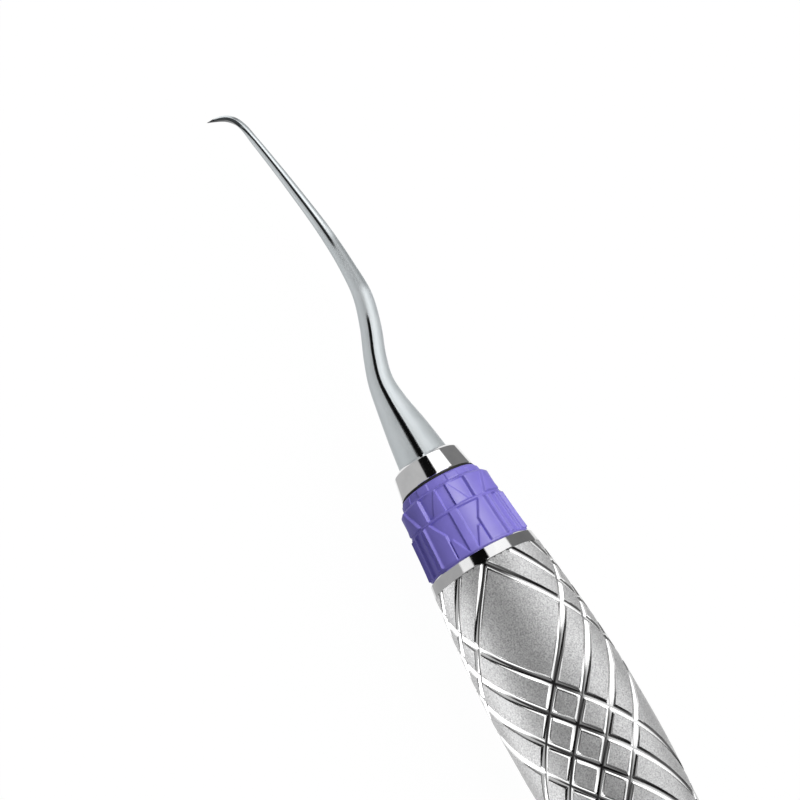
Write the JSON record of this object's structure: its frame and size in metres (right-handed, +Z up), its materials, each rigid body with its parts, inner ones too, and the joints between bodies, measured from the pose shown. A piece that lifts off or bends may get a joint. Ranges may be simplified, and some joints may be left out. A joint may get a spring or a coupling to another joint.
{
  "type": "dental hand scaler",
  "caption": "Double-ended dental hand scaler: hollow steel handle with two swelling barrels, soft grip sleeves, and a screw-in bent shank with a small hooked blade at each end.",
  "frame": {"origin": "middle of the handle, on the surface that the instrument lies on", "axes": "+X along the handle from the front tip to the rear tip, +Z up, and both shanks bend in the horizontal XY plane"},
  "size_m": [0.1638, 0.0112, 0.0112],
  "materials": {
    "satin_steel": "bead-blasted satin stainless steel with polished cut grooves",
    "polished_steel": "mirror-polished stainless steel",
    "blade_steel": "fine-polished hardened stainless steel",
    "violet_silicone": "matt moulded silicone rubber",
    "black_seal": "matt black elastomer"
  },
  "bodies": {
    "handle": {"handle_tube": "satin_steel", "front_socket_insert": "polished_steel", "front_tube_seal": "black_seal", "front_grip_sleeve": "violet_silicone", "rear_socket_insert": "polished_steel", "rear_tube_seal": "black_seal", "rear_grip_sleeve": "violet_silicone"},
    "front_seal": {"front_face_seal": "black_seal"},
    "front_tip": {"front_collar": "polished_steel", "front_scaler_tip": "blade_steel"},
    "rear_seal": {"rear_face_seal": "black_seal"},
    "rear_tip": {"rear_collar": "polished_steel", "rear_scaler_tip": "blade_steel"}
  },
  "joints": [
    {"name": "front_tip_lead", "type": "slide", "parent": "handle", "child": "front_seal", "axis": [-1, 0, 0], "range_m": [0, 0.0056]},
    {"name": "front_tip_screw", "type": "hinge", "parent": "front_seal", "child": "front_tip", "pos_m": [-0.04515, 0, 0.0056], "axis": [-1, 0, 0], "range_deg": [0, 2881]},
    {"name": "rear_tip_lead", "type": "slide", "parent": "handle", "child": "rear_seal", "axis": [1, 0, 0], "range_m": [0, 0.0056]},
    {"name": "rear_tip_screw", "type": "hinge", "parent": "rear_seal", "child": "rear_tip", "pos_m": [0.04515, 0, 0.0056], "axis": [1, 0, 0], "range_deg": [0, 2881]}
  ],
  "couplings": [
    {"joint": "front_tip_screw", "follows": "front_tip_lead", "rad_per_m": 8976},
    {"joint": "rear_tip_screw", "follows": "rear_tip_lead", "rad_per_m": 8976}
  ]
}
